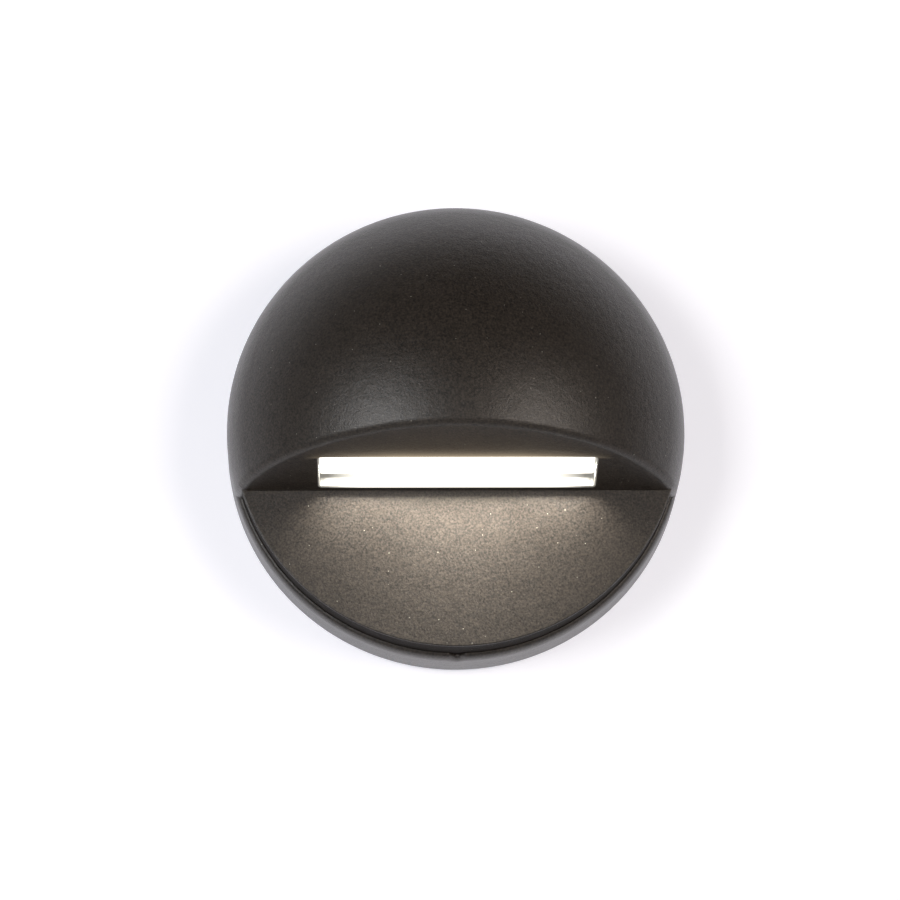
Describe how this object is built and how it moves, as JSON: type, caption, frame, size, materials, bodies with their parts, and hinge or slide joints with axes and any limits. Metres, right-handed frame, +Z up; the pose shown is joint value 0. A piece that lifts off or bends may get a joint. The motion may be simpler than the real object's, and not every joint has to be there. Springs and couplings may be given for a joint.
{
  "type": "surface-mounted deck light",
  "caption": "Round half-dome deck light with a hood over a downward light window, a flat lit plate under it and a slotted wall plate behind.",
  "frame": {"origin": "on the wall plane, at the centre of the pattern of the two screw slots, which is the light's axis", "axes": "+X to the right as seen from in front, +Y into the wall, +Z up the wall; the light faces -Y"},
  "size_m": [0.0762, 0.0383, 0.0762],
  "materials": {
    "dark_bronze": "die-cast brass in a dark bronze powder finish, satin with a fine speckle",
    "frosted_pane": "frosted, lit warm white from behind",
    "black_rubber": "matt silicone rubber",
    "white_plastic": "white, high reflectance",
    "white_board": "white solder mask over an aluminium core",
    "led_yellow": "phosphor-filled silicone",
    "grey_silicone": "soft heat pad",
    "aluminium": "plain rolled sheet",
    "stainless_steel": "brushed stainless steel",
    "dark_steel": "blackened stainless steel",
    "black_plastic": "moulded black plastic",
    "green_board": "green solder mask",
    "component_grey": "mixed dark component bodies",
    "red_wire": "silicone-insulated wire",
    "black_wire": "silicone-insulated wire",
    "bare_brass": "turned brass, lightly dulled"
  },
  "bodies": {
    "wall_mount": {"mounting_plate": "stainless_steel"},
    "light_head": {"housing": "dark_bronze", "window_lens": "frosted_pane", "lens_gasket": "black_rubber", "reflector_tray": "white_plastic", "led_board": "white_board", "led_chips": "led_yellow", "thermal_pad": "grey_silicone", "led_bracket": "aluminium", "led_board_screws": "stainless_steel", "led_bracket_screws": "stainless_steel", "driver_cup": "black_plastic", "driver_board": "green_board", "driver_components": "component_grey", "driver_screws": "stainless_steel", "lead_positive": "red_wire", "lead_negative": "black_wire", "rear_cover": "bare_brass", "rear_seal": "black_rubber", "rear_cover_screws": "stainless_steel", "cable_gland": "black_rubber", "wall_gasket": "black_rubber"},
    "set_screw_left": {"set_screw_left": "dark_steel"},
    "set_screw_right": {"set_screw_right": "dark_steel"}
  },
  "joints": [
    {"name": "head_pull_off", "type": "slide", "parent": "wall_mount", "child": "light_head", "axis": [0, -1, 0], "range_m": [0, 0.03]},
    {"name": "set_screw_left_travel", "type": "slide", "parent": "light_head", "child": "set_screw_left", "axis": [-1, 0, 0], "range_m": [0, 0.003]},
    {"name": "set_screw_right_travel", "type": "slide", "parent": "light_head", "child": "set_screw_right", "axis": [1, 0, 0], "range_m": [0, 0.003]}
  ]
}
